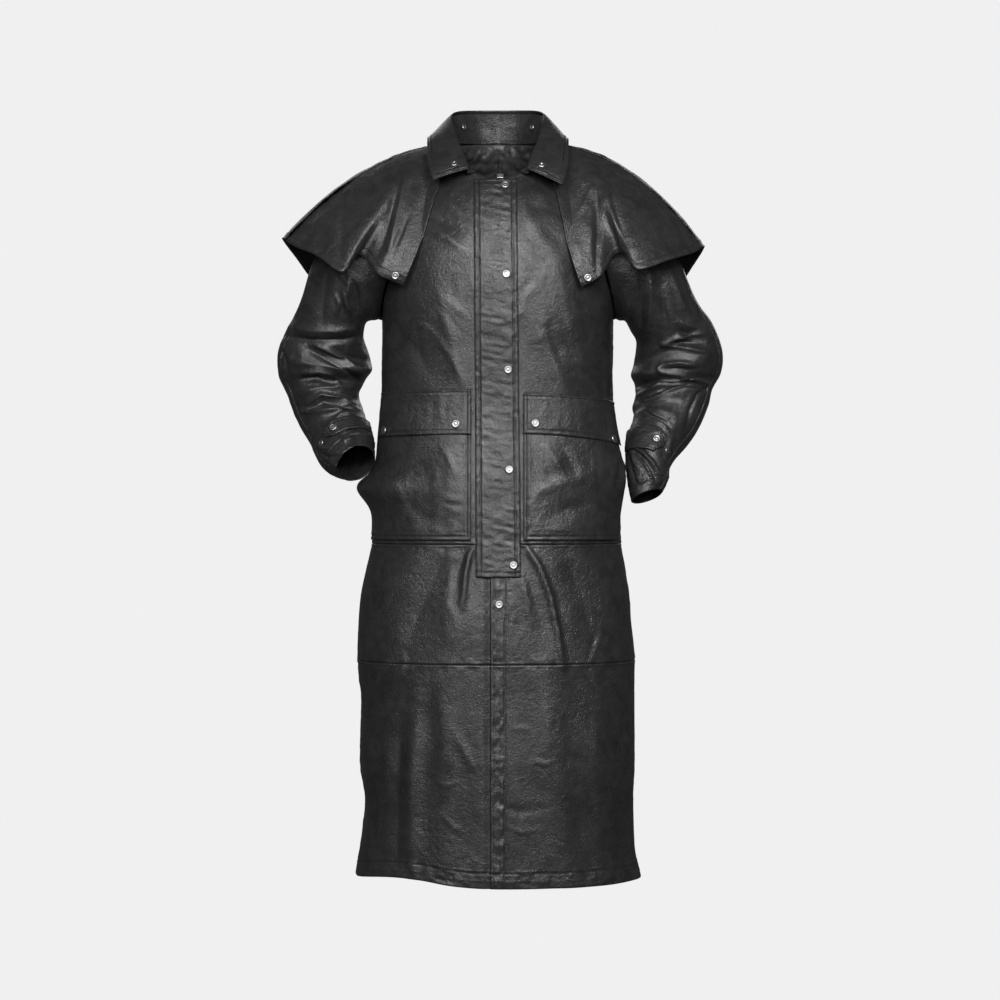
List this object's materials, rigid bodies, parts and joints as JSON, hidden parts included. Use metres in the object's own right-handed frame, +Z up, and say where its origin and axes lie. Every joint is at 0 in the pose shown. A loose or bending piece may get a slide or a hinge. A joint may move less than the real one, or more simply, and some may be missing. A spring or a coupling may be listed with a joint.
{
  "type": "duster coat",
  "caption": "Full-length black leather duster coat with shoulder cape, shirt collar, storm flap and large flapped pockets, shaped as worn with the cuffs at the pockets.",
  "frame": {"origin": "midway between the shoulder tips, at their height, where the coat hangs on its wearer", "axes": "+Z up the coat, -Y to its front, +X to the wearer's left"},
  "size_m": [0.7847, 0.3621, 1.3458],
  "materials": {
    "hide": "semi-gloss, pebbled and creased",
    "neck_lining": "satin, crumpled",
    "studs": "polished"
  },
  "bodies": {
    "root": {"front_left_upper": "hide", "front_right_upper": "hide", "front_left_middle": "hide", "front_right_middle": "hide", "front_left_lower": "hide", "front_right_lower": "hide", "back_upper": "hide", "back_middle": "hide", "back_lower": "hide", "sleeve_left_top": "hide", "sleeve_left_under": "hide", "sleeve_right_top": "hide", "sleeve_right_under": "hide", "cuff_tab_left": "hide", "cuff_tab_right": "hide", "cape_front_left": "hide", "cape_front_right": "hide", "cape_back": "hide", "collar_stand": "hide", "collar_leaf": "hide", "storm_flap": "hide", "pocket_left": "hide", "pocket_right": "hide", "pocket_flap_left": "hide", "pocket_flap_right": "hide", "neck_lining": "neck_lining", "stud_flap_1": "studs", "stud_flap_2": "studs", "stud_flap_3": "studs", "stud_flap_4": "studs", "stud_flap_5": "studs", "stud_skirt": "studs", "zip_end": "studs", "stud_pocket_left_inner": "studs", "stud_pocket_left_outer": "studs", "stud_cape_left": "studs", "stud_cuff_left": "studs", "stud_spare_left": "studs", "stud_collar_left": "studs", "stud_hood_left": "studs", "stud_pocket_right_inner": "studs", "stud_pocket_right_outer": "studs", "stud_cape_right": "studs", "stud_cuff_right": "studs", "stud_spare_right": "studs", "stud_collar_right": "studs", "stud_hood_right": "studs"}
  },
  "joints": []
}
